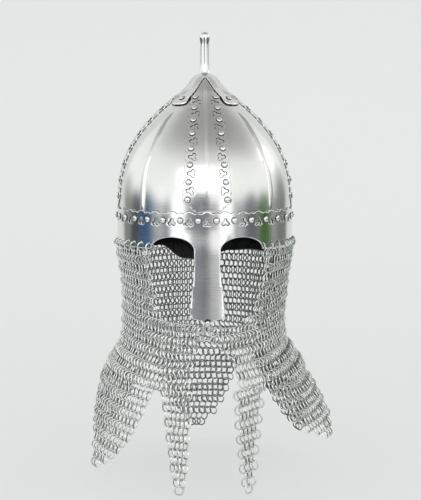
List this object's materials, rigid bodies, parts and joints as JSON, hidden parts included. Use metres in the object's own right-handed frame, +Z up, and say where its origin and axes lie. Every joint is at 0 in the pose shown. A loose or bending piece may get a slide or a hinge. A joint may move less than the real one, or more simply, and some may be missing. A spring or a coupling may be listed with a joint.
{
  "type": "helmet",
  "caption": "Domed steel helmet with fretted riveted straps, a pierced brow band with a long nasal, a ball-tipped spike, a leather liner and a mail curtain ending in dags",
  "frame": {"origin": "the centre of the rim, in the plane of the brow band's lower edge, where the helmet sits round the wearer's head", "axes": "+Z up through the spike, -Y out through the nasal, +X towards the wearer's left side, which the node names call right, as it is seen from the front"},
  "size_m": [0.2809, 0.2975, 0.5079],
  "materials": {
    "plate_steel": "brushed, bright, with soft wide highlights",
    "strap_steel": "satin polished, edges a little worn",
    "rivet_steel": "polished domed heads",
    "mail_steel": "bright zinc-like, semi gloss",
    "liner_leather": "black, creased, semi matte"
  },
  "bodies": {
    "helmet": {"front_right_plate": "plate_steel", "rear_right_plate": "plate_steel", "rear_left_plate": "plate_steel", "front_left_plate": "plate_steel", "front_strap": "strap_steel", "right_strap": "strap_steel", "rear_strap": "strap_steel", "left_strap": "strap_steel", "front_strap_rivets": "rivet_steel", "right_strap_rivets": "rivet_steel", "rear_strap_rivets": "rivet_steel", "left_strap_rivets": "rivet_steel", "brow_band": "strap_steel", "brow_band_rivets": "rivet_steel", "apex_cap": "strap_steel", "apex_cap_rivets": "rivet_steel", "spike": "strap_steel", "crown_washer": "strap_steel", "leather_liner": "liner_leather", "mail_curtain": "mail_steel", "front_ring": "mail_steel"},
    "front_left_dag": {"front_left_dag": "mail_steel"},
    "front_right_dag": {"front_right_dag": "mail_steel"},
    "left_shoulder_dag": {"left_shoulder_dag": "mail_steel"},
    "right_shoulder_dag": {"right_shoulder_dag": "mail_steel"},
    "rear_left_dag": {"rear_left_dag": "mail_steel"},
    "rear_right_dag": {"rear_right_dag": "mail_steel"},
    "rear_dag": {"rear_dag": "mail_steel"}
  },
  "joints": [
    {"name": "front_left_dag_fold", "type": "hinge", "parent": "helmet", "child": "front_left_dag", "pos_m": [-0.03531, -0.12706, -0.1515], "axis": [-0.9465, 0.3229, 0], "range_deg": [0, 50]},
    {"name": "front_right_dag_fold", "type": "hinge", "parent": "helmet", "child": "front_right_dag", "pos_m": [0.04659, -0.12251, -0.1515], "axis": [-0.9062, -0.4229, 0], "range_deg": [0, 50]},
    {"name": "left_shoulder_dag_fold", "type": "hinge", "parent": "helmet", "child": "left_shoulder_dag", "pos_m": [-0.10052, -0.07261, -0.1515], "axis": [-0.5072, 0.8618, 0], "range_deg": [0, 50]},
    {"name": "right_shoulder_dag_fold", "type": "hinge", "parent": "helmet", "child": "right_shoulder_dag", "pos_m": [0.10656, -0.06113, -0.1515], "axis": [-0.4234, -0.9059, 0], "range_deg": [0, 40]},
    {"name": "rear_left_dag_fold", "type": "hinge", "parent": "helmet", "child": "rear_left_dag", "pos_m": [-0.10691, 0.06038, -0.1515], "axis": [0.4181, 0.9084, 0], "range_deg": [0, 50]},
    {"name": "rear_right_dag_fold", "type": "hinge", "parent": "helmet", "child": "rear_right_dag", "pos_m": [0.10093, 0.07191, -0.1515], "axis": [0.502, -0.8648, 0], "range_deg": [0, 50]},
    {"name": "rear_dag_fold", "type": "hinge", "parent": "helmet", "child": "rear_dag", "pos_m": [-0.006, 0.13278, -0.1515], "axis": [0.9985, 0.0554, 0], "range_deg": [0, 50]}
  ]
}
